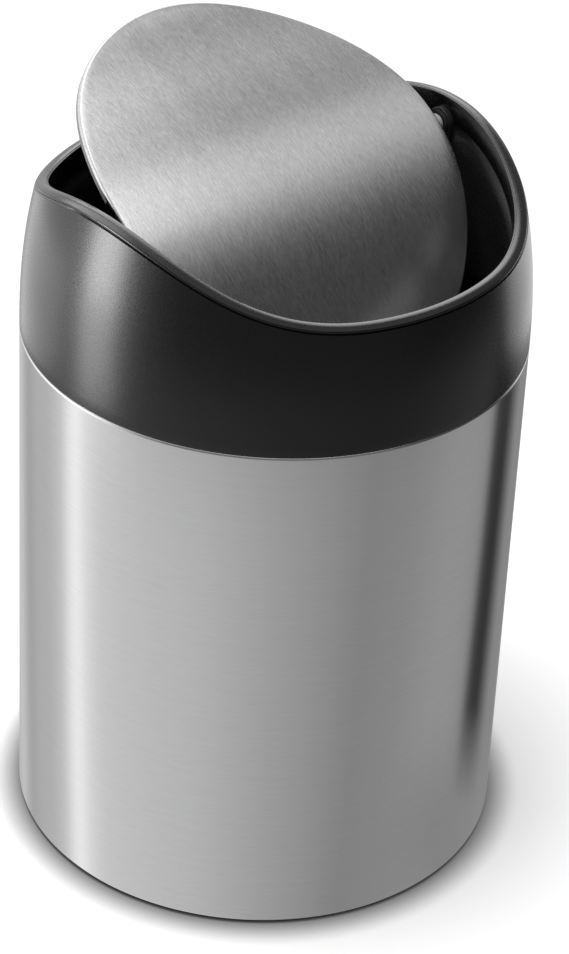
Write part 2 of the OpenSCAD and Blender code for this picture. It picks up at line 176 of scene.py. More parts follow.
def brushed_round():
    """Steel brushed round the can: long level scratches, and the weld's line up the back."""
    finish = Finish("brushed_steel_body", Metallic=1.0, Anisotropic=0.6,
                    Anisotropic_Rotation=0.25)
    scratches = finish.noise((260, 260, 5200), detail=3.0, roughness=0.6)
    bands = finish.noise((30, 30, 700))
    handling = finish.noise((22, 22, 22), detail=4.0)
    finish.shade((0.70, 0.70, 0.705), (0.76, 0.76, 0.765),
                 finish.sum(finish.between(scratches, 0.0, 0.7), finish.between(bands, 0.0, 0.2)))
    finish.rough(finish.sum(finish.between(scratches, 0.15, 0.165),
                            finish.between(handling, -0.003, 0.005)))
    sides = finish.add("ShaderNodeSeparateXYZ", Vector=finish.place).outputs
    beside = finish.add("ShaderNodeMath", {"operation": "ABSOLUTE"})
    finish.feed(beside, 0, sides["X"])
    weld = finish.add("ShaderNodeMath", {"operation": "MULTIPLY"})
    finish.feed(weld, 0, finish.between(beside.outputs[0], 1.0, 0.0, *weld_edge))
    finish.feed(weld, 1, finish.between(sides["Y"], 0.0, 1.0, 0.0, 20 * mm))
    finish.relief(finish.sum(scratches, weld.outputs[0]), 0.04)
    tangent = finish.add("ShaderNodeTangent", {"direction_type": "RADIAL", "axis": "Z"})
    finish.feed(finish.shader, "Tangent", tangent.outputs[0])
    return finish.material


fold_r = sheet + fold_gap / 2
hem_in_r = body_r - 2 * fold_r
bottom_corner = arc(body_r - bottom_round, steel_low + bottom_round, bottom_round, -90, 0)
fold = arc(body_r - fold_r, seam_z - fold_r, fold_r, 0, 180, steps=12)
hem_end = seam_z - hem_depth
body_tube = new_piece("body_tube", turned(
    [(body_r - turn_in, steel_low)] + bottom_corner + fold
    + [(hem_in_r, hem_end), (body_r - sheet, hem_end), (body_r - sheet, steel_low + sheet),
       (body_r - turn_in, steel_low + sheet)]), brushed_round())
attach(body_tube, "can")
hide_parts("body_shell")

# Floor: a steel disc pressed with a low step, its edge drawn down to a flange that stands on the
# body's turned-in lip. It keeps the dull grey of rolled sheet, with its fine roll lines.
low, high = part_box("floor_pan")
pan_r = high.x
pan_z = high.z
pan_foot = low.z
pan_mid_r = 38 * mm
pan_step = 1 * mm
step_run = 2 * mm
pan_bend = 1.5 * mm


def rolled_sheet():
    """Plain rolled sheet: fine straight roll lines and soft blotches."""
    finish = Finish("rolled_steel", Metallic=1.0)
    lines = finish.noise((2600, 60, 60), detail=2.0)
    blotches = finish.noise((70, 70, 70), detail=3.0)
    finish.shade((0.46, 0.465, 0.48), (0.58, 0.585, 0.60), finish.between(blotches, 0.0, 1.0))
    finish.rough(finish.sum(finish.between(lines, 0.30, 0.36), finish.between(blotches, 0, 0.06)))
    finish.relief(lines, 0.08)
    return finish.material


def face_up(work):
    """Turns an open sheet's faces upwards."""
    if sum(face.normal.z for face in work.faces) < 0:
        bmesh.ops.reverse_faces(work, faces=work.faces)


rolled_steel = rolled_sheet()
step_fall = [(pan_mid_r - step_run * i / 6, pan_z - pan_step * (3 - 2 * i / 6) * (i / 6) ** 2)
             for i in range(6, -1, -1)]
pan_work = turned([(0, pan_z - pan_step)] + step_fall
                  + arc(pan_r - pan_bend, pan_z - pan_bend, pan_bend, 90, 0)
                  + [(pan_r, pan_foot)], closed=False)
face_up(pan_work)
bmesh.ops.solidify(pan_work, geom=pan_work.faces, thickness=sheet)
can_floor = new_piece("can_floor", pan_work, rolled_steel)
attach(can_floor, "can")
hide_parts("floor_pan")

# Base ring: a black moulded channel under the floor, open at the top and stiffened by ribs.
# It snaps over the body's turned-in lip with small nibs, and it carries the feet.
low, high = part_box("base_ring")
ring_low = low.z
ring_top = high.z
ring_r = 56.8 * mm
ring_in_r = 44.0 * mm
ring_wall = 1.6 * mm
ring_plate = 2 * mm
ring_ribs = 16
rib_t = 1.2 * mm
ring_nibs = 8
nib_w = 6 * mm
nib_h = 1 * mm
nib_low = 1.5 * mm
edge_break = 0.25 * mm


def break_edges(work, radius, over=40, segments=3):
    """Rounds every edge that is sharper than over degrees."""
    sharp = [edge for edge in work.edges
             if len(edge.link_faces) == 2 and edge.calc_face_angle() > math.radians(over)]
    bmesh.ops.bevel(work, geom=sharp, offset=radius, affect="EDGES", segments=segments,
                    profile=0.5, material=-1, clamp_overlap=True)


def block(work, centre, size, turn=0.0, radius=0.0):
    """Adds a block with rounded edges to the work, turned about the can's axis."""
    made = bmesh.new()
    bmesh.ops.create_cube(made, size=1, matrix=Matrix.Translation(centre)
                          @ Matrix.Diagonal((*size, 1)))
    if radius:
        break_edges(made, radius)
    bmesh.ops.rotate(made, verts=made.verts, matrix=Matrix.Rotation(turn, 3, "Z"))
    join(work, made)


def join(work, made):
    """Moves the faces of made into the work."""
    mesh = bpy.data.meshes.new("part")
    made.to_mesh(mesh)
    made.free()
    work.from_mesh(mesh)
    bpy.data.meshes.remove(mesh)


def moulded(name, dark, light, grain=2600, rough=(0.42, 0.5), bump=0.12, gloss=0.4):
    """Moulded plastic: a fine spark-eroded grain over an even colour, with faint flow marks."""
    finish = Finish(name)
    finish.shader.inputs["Specular IOR Level"].default_value = gloss
    texture = finish.noise((grain, grain, grain), detail=2.0)
    flow = finish.noise((35, 35, 18), detail=3.0)
    finish.shade(dark, light, finish.sum(finish.between(texture, 0, 0.6),
                                         finish.between(flow, 0, 0.4)))
    finish.rough(finish.sum(finish.between(texture, *rough), finish.between(flow, -0.02, 0.02)))
    finish.relief(texture, bump, 0.03 * mm)
    return finish.material


black_base = moulded("black_moulded_base", (0.010, 0.010, 0.011), (0.016, 0.016, 0.017))
base_work = turned([
    (ring_in_r, ring_low), (ring_r, ring_low), (ring_r, ring_top), (ring_r - ring_wall, ring_top),
    (ring_r - ring_wall, ring_low + ring_plate), (ring_in_r + ring_wall, ring_low + ring_plate),
    (ring_in_r + ring_wall, ring_top), (ring_in_r, ring_top)])
break_edges(base_work, edge_break)
rib_run = ring_r - ring_in_r - ring_wall
rib_rise = ring_top - ring_low - ring_plate / 2
for i in range(ring_ribs):
    block(base_work, ((ring_in_r + ring_r) / 2, 0, ring_top - rib_rise / 2),
          (rib_run, rib_t, rib_rise), turn=math.tau * (i + 0.5) / ring_ribs)
for i in range(ring_nibs):
    block(base_work, (ring_r, 0, nib_low + nib_h / 2), (2 * nib_h, nib_w, nib_h),
          turn=math.tau * i / ring_nibs, radius=edge_break)
base_channel = new_piece("base_channel", base_work, black_base)
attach(base_channel, "can")
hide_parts("base_ring")

# Feet: four soft rubber discs pressed into the base ring, with a rounded edge and two shallow
# rings moulded into the face that grips the worktop.
low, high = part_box("foot_pads")
foot_low = low.z
foot_top = high.z
foot_r = 5 * mm
foot_ring_r = 50.4 * mm
foot_count = 4
foot_round = 0.35 * mm
groove_places = (1.8 * mm, 3.2 * mm)
groove = 0.25 * mm


def rubber():
    finish = Finish("soft_rubber", Roughness=0.75)
    finish.shader.inputs["Specular IOR Level"].default_value = 0.3
    texture = finish.noise((1800, 1800, 1800), detail=3.0)
    finish.shade((0.025, 0.025, 0.026), (0.045, 0.045, 0.046), finish.between(texture, 0, 1))
    finish.relief(texture, 0.2, 0.03 * mm)
    return finish.material


soft_rubber = rubber()
foot_face = [(0, foot_low)]
for groove_r in groove_places:
    foot_face += [(groove_r - groove, foot_low), (groove_r, foot_low + groove),
                  (groove_r + groove, foot_low)]
foot_outline = (foot_face + arc(foot_r - foot_round, foot_low + foot_round, foot_round, -90, 0)
                + [(foot_r, foot_top), (0, foot_top)])
feet_work = bmesh.new()
for i in range(foot_count):
    foot = turned(foot_outline, closed=False, steps=48)
    bmesh.ops.translate(foot, verts=foot.verts, vec=(foot_ring_r, 0, 0))
    bmesh.ops.rotate(foot, verts=foot.verts,
                     matrix=Matrix.Rotation(math.tau * (i + 0.5) / foot_count, 3, "Z"))
    join(feet_work, foot)
rubber_feet = new_piece("rubber_feet", feet_work, soft_rubber)
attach(rubber_feet, "can")
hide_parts("foot_pads")

# Collar: the lid's black moulded shell. It draws in from the body towards a rim that waves, high
# over the two pivots and low at the front and back, and ends in a lip that slopes outwards.
rim_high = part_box("collar")[1].z
rim_dip = 14.1 * mm
rim_low = rim_high - rim_dip
wave_half = 55 * mm
collar_draw = 6.4 * mm
collar_curve = 2.3
collar_wall = 2 * mm
lip_w = 3 * mm
lip_depth = 5.8 * mm
lip_rise = 0.3 * mm
lip_fall = 0.35 * mm
lip_ridge, ridge_half, ridge_power = 0.72, 0.62, 2.2
lip_round = 0.45 * mm
lip_in_round = 0.3 * mm
lip_foot_round = 0.15 * mm
crease = 0.5 * mm
crease_h = 0.15 * mm
crease_drop = 1.25 * mm
crease_edge = 0.05 * mm
crease_fade = (3 * mm, 12 * mm)
seam_round = 0.3 * mm
slack = 0.1 * mm


def wave(y):
    """The rim's wave: 1 over the pivots and 0 where it runs flat at the front and back."""
    return (1 - (y / wave_half) ** 2) ** 2 if abs(y) < wave_half else 0.0


def side_r(z):
    """Radius of the collar's side at height z."""
    rise = max(0.0, z - seam_z) / (rim_high - seam_z)
    return body_r - collar_draw * rise ** collar_curve


def rim_at(turn):
    """Radius and height of the rim in one direction, where the side meets the wave."""
    r = body_r
    for _ in range(8):
        z = rim_low + rim_dip * wave(r * math.sin(turn))
        r = side_r(z)
    return r, z


front_rim_r, front_rim_z = rim_at(math.pi / 2)


def follow_wave(work, lifted_from, lifted_at, move):
    """Lifts what was turned about the axis onto the wave. Heights up to lifted_from stay, those
    over lifted_at rise with the rim, and move gives each vertex its new radius."""
    for vert in work.verts:
        r, turn, z = math.hypot(vert.co.x, vert.co.y), math.atan2(vert.co.y, vert.co.x), vert.co.z
        here_r, here_z = rim_at(turn)
        share = min(1.0, max(0.0, (z - lifted_from) / (lifted_at - lifted_from)))
        new_z = z + (here_z - front_rim_z) * share
        new_r = move(r, z, new_z, here_r, vert.co.y)
        vert.co = (new_r * math.cos(turn), new_r * math.sin(turn), new_z)


def collar_place(r, z, new_z, here_r, y):
    """The side keeps its curve, the crease under the lip runs out just behind the two pivots, and
    the lip's inner wall stays plumb below the rim."""
    by_side = r + side_r(new_z) - side_r(z)
    if abs(z - crease_z - crease_h / 2) < slack:
        start, end = crease_fade
        by_side += crease * min(1.0, max(0.0, (y - start) / (end - start)))
    by_rim = r + here_r - front_rim_r
    inwards = min(1.0, max(0.0, (front_rim_r - r) / lip_w))
    return by_side + (by_rim - by_side) * (inwards if z > rim_low - lip_depth - slack else 0)


black_collar = moulded("black_moulded_collar", (0.003, 0.003, 0.0032), (0.005, 0.005, 0.0053),
                       grain=2400, rough=(0.24, 0.30), bump=0.3, gloss=0.43)
crease_z = rim_low - crease_drop
side_low = seam_z + seam_round
side_top = crease_z - 4 * crease_edge
side = [(side_r(z), z) for z in (side_low + (side_top - side_low) * i / 16 for i in range(1, 17))]
under_lip = rim_low - lip_depth
inside = [(side_r(z) - collar_wall, z)
          for z in (under_lip - (under_lip - seam_z) * i / 8 for i in range(8))]
lip_in_r = front_rim_r - lip_w
lip_top = [(front_rim_r - lip_w * t,
            rim_low + lip_rise - (lip_rise + lip_fall)
            * abs((t - lip_ridge) / ridge_half) ** ridge_power)
           for t in (0.16, 0.28, 0.4, 0.52, 0.64, 0.74, 0.84)]
collar_outline = (
    [(body_r - collar_wall, seam_z)]
    + arc(body_r - seam_round, side_low, seam_round, -90, 0, steps=4)
    + side + [(side_r(crease_z - crease_edge), crease_z - crease_edge)]
    + [(side_r(crease_z) - crease, crease_z), (side_r(crease_z) - crease, crease_z + crease_h)]
    + arc(front_rim_r - lip_round, rim_low - 1.6 * lip_round, lip_round, -35, 60, steps=6)
    + lip_top
    + arc(lip_in_r + lip_in_round, rim_low - lip_in_round / 2, lip_in_round, 80, 180, steps=5)
    + arc(lip_in_r + lip_foot_round, under_lip + lip_foot_round, lip_foot_round, 180, 270, steps=3)
    + inside)
collar_work = turned(collar_outline, steps=288)
follow_wave(collar_work, seam_z, under_lip - 1 * mm, collar_place)
lid_collar = new_piece("lid_collar", collar_work, black_collar, sharp_over=42)
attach(lid_collar, "lid")
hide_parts("collar")

# Guard ring: the lid's inner moulding, screwed up under the collar. Its wall shows as the second
# band below the lip, its skirt plugs into the body, and its two ears hold the pivot bushes.
low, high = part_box("guard_ring")
skirt_r = high.x
skirt_low = low.z
skirt_wall = 1.6 * mm
guard_step = 0.4 * mm
guard_wall = 1.4 * mm
guard_gap = 0.1 * mm
guard_round = 0.3 * mm
guard_taper = 0.85 * mm
taper_depth = 3.4 * mm
taper_start = Vector((0.1, 0.5)) * mm
skirt_round = 0.8 * mm
web_z = 138 * mm
web_t = 2 * mm
pivot_z = 171.3 * mm
ear_r = 3.6 * mm
ear_low = 8 * mm
ear_half = 1.4 * mm
ear_round = 0.2 * mm
bush_r = 2.15 * mm
stop_in = 41.5 * mm
stop_half = 0.8 * mm
stop_top = 3.3 * mm
stop_low = 7.5 * mm
stop_round = 0.3 * mm
mouth_side_r = rim_at(0)[0] - lip_w


def guard_place(r, z, new_z, here_r, y):
    """The wall follows the mouth, and the skirt stays round."""
    return r + here_r - front_rim_r if r < guard_out_r + slack else r


def pivot_ear():
    """The ear's outline is round over the pivot and square below it, with the bush's hole."""
    ear = bmesh.new()
    rings = []
    for radius in (bush_r, ear_r):
        ring = bmesh.ops.create_circle(ear, segments=48, radius=radius)["verts"]
        rings.append(sorted({edge for vert in ring for edge in vert.link_edges},
                            key=lambda edge: edge.index))
    for vert in ring:
        if vert.co.y < 0:
            square = max(abs(vert.co.x), abs(vert.co.y))
            vert.co = (vert.co.x * ear_r / square, vert.co.y * ear_low / square, 0)
    faces = bmesh.ops.bridge_loops(ear, edges=rings[0] + rings[1])["faces"]
    out = bmesh.ops.extrude_face_region(ear, geom=faces)["geom"]
    bmesh.ops.translate(ear, vec=(0, 0, 2 * ear_half),
                        verts=[item for item in out if isinstance(item, bmesh.types.BMVert)])
    bmesh.ops.recalc_face_normals(ear, faces=ear.faces)
    break_edges(ear, ear_round)
    stand = Matrix(((0, 0, 1), (1, 0, 0), (0, 1, 0)))
    bmesh.ops.rotate(ear, verts=ear.verts, matrix=stand)
    bmesh.ops.translate(ear, verts=ear.verts, vec=(mouth_side_r - ear_half, 0, pivot_z))
    return ear


guard_top = under_lip - guard_gap
guard_in_r = lip_in_r - guard_step
guard_out_r = guard_in_r + guard_wall
taper_z = guard_top - taper_depth
guard_work = turned(
    [(guard_in_r, taper_z), (guard_in_r + taper_start.x, taper_z + taper_start.y)]
    + arc(guard_in_r + guard_taper + guard_round, guard_top - guard_round, guard_round, 165, 90,
          steps=4)
    + [(guard_out_r, guard_top)]
    + [(guard_out_r, guard_top + (web_z + web_t - guard_top) * i / 6) for i in range(1, 7)]
    + arc(skirt_r - guard_round, web_z + web_t - guard_round, guard_round, 90, 0, steps=3)
    + arc(skirt_r - skirt_round, skirt_low + skirt_round, skirt_round, 0, -90, steps=5)
    + [(skirt_r - skirt_wall, skirt_low), (skirt_r - skirt_wall, web_z), (guard_in_r, web_z)]
    + [(guard_in_r, web_z + (taper_z - web_z) * i / 7) for i in range(1, 7)],
    steps=288)
follow_wave(guard_work, web_z + web_t, guard_top - 1 * mm, guard_place)
for side_turn in (0, math.pi):
    ear = pivot_ear()
    block(ear, ((stop_in + mouth_side_r) / 2, 0, pivot_z - (stop_low + stop_top) / 2),
          (mouth_side_r - stop_in, 2 * stop_half, stop_low - stop_top), radius=stop_round)
    bmesh.ops.rotate(ear, verts=ear.verts, matrix=Matrix.Rotation(side_turn, 3, "Z"))
    join(guard_work, ear)
black_guard = moulded("black_moulded_guard", (0.013, 0.013, 0.0135), (0.019, 0.019, 0.0195),
                      grain=2400, rough=(0.26, 0.32), bump=0.15)
inner_guard = new_piece("inner_guard", guard_work, black_guard, sharp_over=50)
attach(inner_guard, "lid")
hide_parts("guard_ring")

# Guard ring screws: four plated pan head screws with a cross recess, driven up from below into
# columns inside the collar. Only their heads show, when the lid is off.
screw_turns = [math.radians(angle) for angle in (-16, 16, 164, 196)]
ring_screw_r = 54.2 * mm
ring_screw_reach = 12 * mm
shank_r = 0.9 * mm
head_r = 1.8 * mm
head_h = 1.3 * mm
head_round = 0.7 * mm
tip_l = 0.8 * mm
tip_share = 0.6
recess_arm = 0.95 * mm
recess_core = 0.32 * mm
recess_depth = 0.7 * mm
recess_draw = 0.7
arm_half = math.radians(17)


def pan_head_screw(reach):
    """A screw standing on its head at the origin, its shank upwards and its recess below."""
    face_r = head_r - head_round
    shank = [(0, reach), (shank_r * tip_share, reach), (shank_r, reach - tip_l), (shank_r, 0)]
    head = [(head_r - 0.05 * mm, 0)] + arc(face_r, -head_h + head_round, head_round, 0, -90)
    screw = turned(shank + head, closed=False, steps=48)
    rim = [edge for edge in screw.edges if edge.is_boundary]
    bmesh.ops.holes_fill(screw, edges=rim, sides=0)
    face = max((f for f in screw.faces if len(f.verts) > 4), key=lambda f: len(f.verts))
    bmesh.ops.inset_region(screw, faces=[face], thickness=face_r * 0.06)
    for vert in face.verts:
        turn = math.atan2(vert.co.y, vert.co.x) % (math.pi / 2)
        arm = min(turn, math.pi / 2 - turn) < arm_half
        scale = (recess_arm if arm else recess_core) / math.hypot(vert.co.x, vert.co.y)
        vert.co = (vert.co.x * scale, vert.co.y * scale, vert.co.z)
    floor = bmesh.ops.extrude_face_region(screw, geom=[face])["geom"]
    sunk = [item for item in floor if isinstance(item, bmesh.types.BMVert)]
    bmesh.ops.scale(screw, verts=sunk, vec=(recess_draw, recess_draw, 1))
    bmesh.ops.translate(screw, verts=sunk, vec=(0, 0, recess_depth))
    bmesh.ops.delete(screw, geom=[face], context="FACES_ONLY")
    bmesh.ops.recalc_face_normals(screw, faces=screw.faces)
    return screw


def plated():
    finish = Finish("plated_screw", Metallic=1.0)
    wear = finish.noise((900, 900, 900), detail=3.0)
    finish.shade((0.42, 0.42, 0.44), (0.62, 0.62, 0.63), finish.between(wear, 0, 1))
    finish.rough(finish.between(wear, 0.24, 0.36))
    finish.relief(wear, 0.06)
    return finish.material


plated_steel = plated()
screws_work = bmesh.new()
for turn in screw_turns:
    screw = pan_head_screw(ring_screw_reach)
    bmesh.ops.translate(screw, verts=screw.verts, vec=(ring_screw_r, 0, web_z))
    bmesh.ops.rotate(screw, verts=screw.verts, matrix=Matrix.Rotation(turn, 3, "Z"))
    join(screws_work, screw)
guard_screws = new_piece("guard_screws", screws_work, plated_steel)
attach(guard_screws, "lid")
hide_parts("ring_screws")

# Skirt pads: six soft rubber strips set into the skirt, which centre the lid in the body and
# stop it rattling. They are the frame's own pieces, finished in the feet's rubber.
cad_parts["skirt_pads"].material_slots[0].material = soft_rubber

# Pivot bushes and pins: a flanged black acetal bush in each ear, and a headed steel pin that is
# pressed into the flap's boss and turns in the bush. They are the frame's own pieces.
acetal = moulded("black_acetal", (0.02, 0.02, 0.021), (0.03, 0.03, 0.031), rough=(0.28, 0.34),
                 bump=0.04)
for name, material in (("pivot_bush_left", acetal), ("pivot_bush_right", acetal),
                       ("pivot_pin_left", plated_steel), ("pivot_pin_right", plated_steel)):
    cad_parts[name].material_slots[0].material = material

# Flap face: stainless sheet cut to an ellipse, brushed from front to back, bent to the rim's wave,
# and its edge turned down over the grey carrier that holds it. At rest it stands swung open.
side_gap, end_gap, crown_gap = 3.7 * mm, 1.5 * mm, 3.4 * mm
flap_a = mouth_side_r - side_gap
flap_b = lip_in_r - end_gap
crown_z = rim_high - crown_gap
flap_drop = 10 * mm
skin_t = 0.5 * mm
skin_edge = 1.0 * mm
skin_round = 0.65 * mm
flap_open = math.radians(35)


def bend(work):
    """Bends flat work to the flap's wave, at the flap's height."""
    for vert in work.verts:
        vert.co.z += crown_z - flap_drop * (1 - wave(vert.co.y))


def swing(work):
    """Swings level work open about the pivot."""
    bmesh.ops.rotate(work, verts=work.verts, cent=(0, 0, pivot_z),
                     matrix=Matrix.Rotation(flap_open, 3, "X"))


def brushed_along():
    """Steel brushed from the flap's front to its back: short straight scratches side by side."""
    finish = Finish("brushed_steel_flap", Metallic=1.0, Anisotropic=0.7)
    scratches = finish.noise((3800, 420, 420), detail=2.0, roughness=0.6)
    fine = finish.noise((7000, 900, 900), detail=1.0)
    bands = finish.noise((260, 16, 16))
    finish.shade((0.54, 0.54, 0.545), (0.86, 0.86, 0.865),
                 finish.sum(finish.between(scratches, 0.0, 0.5), finish.between(fine, 0, 0.4),
                            finish.between(bands, 0.0, 0.1)))
    finish.rough(finish.sum(finish.between(scratches, 0.225, 0.25),
                            finish.between(bands, 0, 0.015)))
    finish.relief(finish.noise((1600, 120, 120), detail=0.0), 0.04)
    tangent = finish.add("ShaderNodeTangent", {"direction_type": "UV_MAP", "uv_map": "across"})
    finish.feed(finish.shader, "Tangent", tangent.outputs[0])
    return finish.material


def across_map(work):
    """Gives the work a UV map that runs along X and Y, for the direction of the brushing."""
    layer = work.loops.layers.uv.new("across")
    for face in work.faces:
        for loop in face.loops:
            loop[layer].uv = (loop.vert.co.x / flap_b + 0.5, loop.vert.co.y / flap_b + 0.5)


skin_rings = 40
skin_work = turned([((flap_b - skin_round) * i / skin_rings, 0) for i in range(skin_rings)]
                   + arc(flap_b - skin_round, -skin_round, skin_round, 90, 0, steps=8)
                   + [(flap_b, -skin_edge)], closed=False, steps=240)
face_up(skin_work)
bmesh.ops.scale(skin_work, verts=skin_work.verts, vec=(flap_a / flap_b, 1, 1))
across_map(skin_work)
bmesh.ops.solidify(skin_work, geom=skin_work.faces, thickness=skin_t)
bend(skin_work)
swing(skin_work)
flap_face = new_piece("flap_face", skin_work, brushed_along())
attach(flap_face, "flap")
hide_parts("flap_skin")

# Flap carrier: the grey moulded frame under the face, with a rim that shows as a thin layer below
# the steel's edge, ribs, pin bosses and stops. The counterweight's cover is the same plastic.
grey_moulded = moulded("grey_moulded", (0.30, 0.30, 0.305), (0.36, 0.36, 0.365), grain=1900,
                       rough=(0.36, 0.46), bump=0.12)
for name in ("flap_carrier", "weight_cover"):
    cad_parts[name].material_slots[0].material = grey_moulded

# Counterweight: a plain steel bar, sawn to length with its edges broken, that lies in the cover
# under the flap and brings it back to level.
bar_l, bar_w, bar_t = 50 * mm, 9 * mm, 4 * mm
bar_drop = 2.2 * mm
bar_round = 0.4 * mm
bar_top = pivot_z - bar_drop
bar_work = bmesh.new()
block(bar_work, (0, 0, bar_top - bar_t / 2), (bar_l, bar_w, bar_t), radius=bar_round)
swing(bar_work)
weight_bar = new_piece("weight_bar", bar_work, rolled_steel)
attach(weight_bar, "flap")
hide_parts("counterweight")

# Cover screws: two of the same plated pan head screws, driven up through the cover's tabs into
# the carrier's posts. They hold the cover, and with it the bar.
cover_wall = 1.4 * mm
cover_screw_x = 30.8 * mm
cover_screw_reach = 4.8 * mm
cover_screws_work = bmesh.new()
for x in (-cover_screw_x, cover_screw_x):
    screw = pan_head_screw(cover_screw_reach)
    bmesh.ops.translate(screw, verts=screw.verts, vec=(x, 0, bar_top - cover_wall))
    join(cover_screws_work, screw)
swing(cover_screws_work)
cover_screws = new_piece("cover_screws", cover_screws_work, plated_steel)
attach(cover_screws, "flap")
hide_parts("weight_screws")

# Studio floor: a plain white sweep. The camera sees it white but for the can's soft shadow, and
# the steel does not mirror it, because the studio's panels do that work. The shadow is partly cast
# by the overhead softbox and partly painted: near the can, ambient occlusion darkens the paper's
# colour and its glow.
floor_half = 3.0
floor_paper = 0.88
# Reach and strength of the shadow that is painted round the can's foot from ambient occlusion.
painted_shadow_reach = 8.5 * mm
painted_shadow_power = 2.0
glow_run = (0.35, 1.6)
glow_levels = (0.40, 1.0)
floor_work = bmesh.new()
bmesh.ops.create_grid(floor_work, x_segments=1, y_segments=1, size=floor_half)
floor_mesh = bpy.data.meshes.new("studio_floor")
floor_work.to_mesh(floor_mesh)
floor_work.free()
studio_floor = bpy.data.objects.new("studio_floor", floor_mesh)
bpy.context.scene.collection.objects.link(studio_floor)
studio_floor.visible_glossy = False


class Light:
    """The nodes of a material or a world that is made of plain light, added one by one."""

    def __init__(self, holder):
        holder.use_nodes = True
        self.tree = holder.node_tree
        self.tree.nodes.clear()

    def add(self, kind, settings=(), *inputs):
        """A node with its settings, and its first inputs, each a value or another's output."""
        node = self.tree.nodes.new(kind)
        for setting, value in dict(settings).items():
            setattr(node, setting, value)
        for target, value in zip(node.inputs, inputs):
            if isinstance(value, bpy.types.NodeSocket):
                self.tree.links.new(value, target)
            elif value is not None:
                target.default_value = value
        return node

    def choose(self, how_much, first, second):
        return self.add("ShaderNodeMixShader", (), how_much, first, second).outputs[0]


floor_white = bpy.data.materials.new("floor_white")
light = Light(floor_white)
# Painted contact shadow: ambient occlusion near the can darkens the paper's colour.
near = light.add("ShaderNodeAmbientOcclusion", (), (1, 1, 1, 1), painted_shadow_reach)
painted_contact_shadow = light.add("ShaderNodeMath", {"operation": "POWER"}, near.outputs["AO"],
                    painted_shadow_power).outputs[0]
shaded = light.add("ShaderNodeMapRange", (), painted_contact_shadow, 0.0, 1.0, 0.0, floor_paper).outputs[0]
paper = light.add("ShaderNodeBsdfDiffuse", (), shaded).outputs[0]
spot = light.add("ShaderNodeTexCoord").outputs["Object"]
away = light.add("ShaderNodeVectorMath", {"operation": "LENGTH"}, spot).outputs["Value"]
lift = light.add("ShaderNodeMapRange", (), away, *glow_run, *glow_levels).outputs[0]
# The camera's white glow is darkened near the can by the same painted shadow.
glow = light.add("ShaderNodeEmission", (), painted_contact_shadow, lift).outputs[0]
unlit = light.add("ShaderNodeEmission", (), None, 0.0).outputs[0]
seen = light.add("ShaderNodeLightPath").outputs["Is Camera Ray"]
both = light.add("ShaderNodeAddShader", (), paper, light.choose(seen, unlit, glow)).outputs[0]
light.add("ShaderNodeOutputMaterial", (), both)
floor_mesh.materials.append(floor_white)

# Floor card: a round pale card on the floor close to the can on the right, seen only in the steel,
# where it lifts the dark band at the foot of the body. Its rim fades out.
card_centre = Vector((26, -57, -0.1)) * mm
card_r = 54 * mm
card_fade = (12 * mm, 53 * mm)
card_level = 0.30
card_work = bmesh.new()
bmesh.ops.create_circle(card_work, cap_ends=True, segments=48, radius=card_r,
                        matrix=Matrix.Translation(card_centre))
card_pale = bpy.data.materials.new("card_pale")
light = Light(card_pale)
spot = light.add("ShaderNodeTexCoord").outputs["Object"]
away = light.add("ShaderNodeVectorMath", {"operation": "DISTANCE"}, spot,
                 card_centre).outputs["Value"]
faded = light.add("ShaderNodeMapRange", (), away, *card_fade).outputs[0]
pale = light.add("ShaderNodeEmission", (), None, card_level).outputs[0]
clear = light.add("ShaderNodeBsdfTransparent").outputs[0]
light.add("ShaderNodeOutputMaterial", (), light.choose(faded, pale, clear))
floor_card = new_piece("floor_card", card_work, card_pale)
floor_card.visible_camera = False
floor_card.visible_diffuse = False
floor_card.visible_shadow = False

# Softboxes: one nearly straight overhead, a little to the left, lights the floor and the plastics
# and throws the can's short soft shadow to the right. Strips to the left and behind the can are
# set for the black plastic alone, and a small softbox over the flap for the flap's steel alone.
overhead_from = Vector((-0.11, 0.04, 1.0))
overhead_size = 0.34
overhead_level = 0.62
strip_aim_r = 58 * mm
# Each strip's angle to the right of the camera, distance, foot and top, spread in degrees, level.
strips = (
    ("key_strip", -81, 0.45, (0.04, 0.37), 20, 14.0),
    ("fill_strip", -82, 0.20, (0.02, 0.105), 22, 5.0),
    ("left_rim_strip", -131, 0.20, (0.015, 0.105), 54, 1.02),
    ("right_rim_strip", 145, 0.20, (0.03, 0.115), 46, 1.15))
# The lip's own strips have the bearing of the place that they aim at before their angle.
lip_strips = (
    ("lip_back_strip", -40, 176, 0.50, (0.30, 0.97), 46, 3.0),
    ("lip_left_strip", 108, -115, 0.50, (0.30, 1.30), 46, 3.4))
flap_box_from = Vector((22, 20, 345)) * mm
flap_box_size = (0.10, 0.21)
flap_box_level = 0.75


def bearing(angle):
    """The level direction at an angle in degrees to the right of the camera."""
    turn = math.radians(angle) - shot_turn
    return Vector((math.sin(turn), -math.cos(turn), 0))


def softbox(name, place, aim, size, energy):
    """A rectangular lamp that is aimed at a point and hidden from the camera."""
    data = bpy.data.lights.new(name, "AREA")
    data.shape = "RECTANGLE"
    data.size, data.size_y = size
    data.energy = energy
    lamp = bpy.data.objects.new(name, data)
    bpy.context.scene.collection.objects.link(lamp)
    lamp.matrix_world = (Matrix.Translation(place)
                         @ (place - aim).to_track_quat("Z", "Y").to_matrix().to_4x4())
    lamp.visible_camera = False
    return lamp


overhead = softbox("overhead_softbox", overhead_from, Vector(), (overhead_size, overhead_size),
                   overhead_level * math.pi ** 2 * overhead_from.length_squared)
overhead.visible_glossy = False


def group(name, *pieces):
    """A set of pieces, for the lamps that light only these."""
    members = bpy.data.collections.new(name)
    for piece in pieces:
        members.objects.link(piece)
    return members


black_plastic = group("black_plastic", lid_collar, inner_guard)
collar_only = group("collar_only", lid_collar)
flap_steel = group("flap_steel", flap_face)


